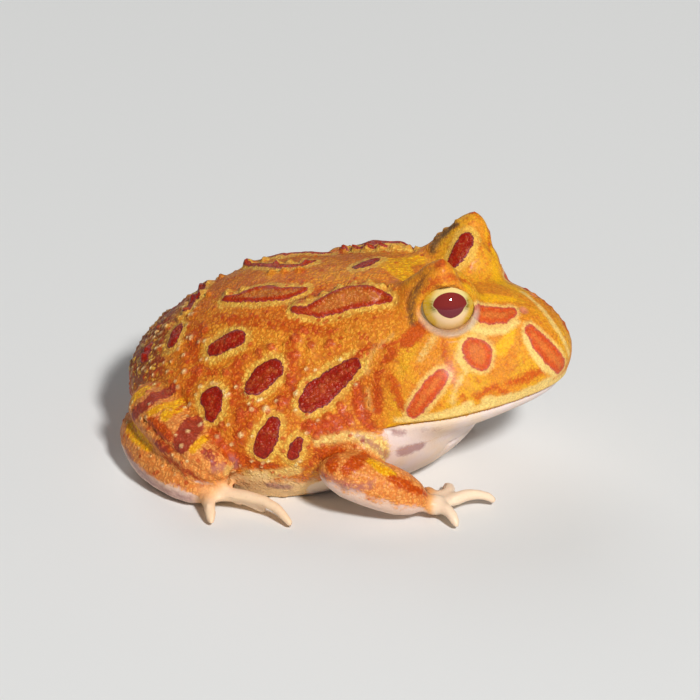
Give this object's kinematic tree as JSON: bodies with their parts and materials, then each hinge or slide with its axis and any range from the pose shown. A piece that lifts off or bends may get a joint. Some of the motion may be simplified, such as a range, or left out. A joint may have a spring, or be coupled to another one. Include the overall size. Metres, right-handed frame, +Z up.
{
  "type": "argentine horned frog",
  "caption": "Life-size still model of a young horned frog resting on its belly, head raised, with horned eyelids, wide mouth and warty back.",
  "frame": {"origin": "middle of the footprint's box, on the floor", "axes": "+X towards the snout, +Y to the frog's left, +Z up"},
  "size_m": [0.05, 0.0468, 0.0277],
  "materials": {
    "skin": "moist granular skin, golden orange with red blotches",
    "pale_skin": "smooth moist skin, pinkish white",
    "eye": "clear wet gloss"
  },
  "bodies": {
    "root": {"trunk": "skin", "head": "skin", "lower_jaw": "pale_skin", "horn_right": "skin", "horn_left": "skin", "eye_right": "eye", "eye_left": "eye", "upper_arm_right": "skin", "upper_arm_left": "skin", "forearm_right": "skin", "forearm_left": "skin", "hand_right": "pale_skin", "hand_left": "pale_skin", "thigh_right": "skin", "thigh_left": "skin", "shank_right": "skin", "shank_left": "skin", "foot_right": "pale_skin", "foot_left": "pale_skin"}
  },
  "joints": []
}
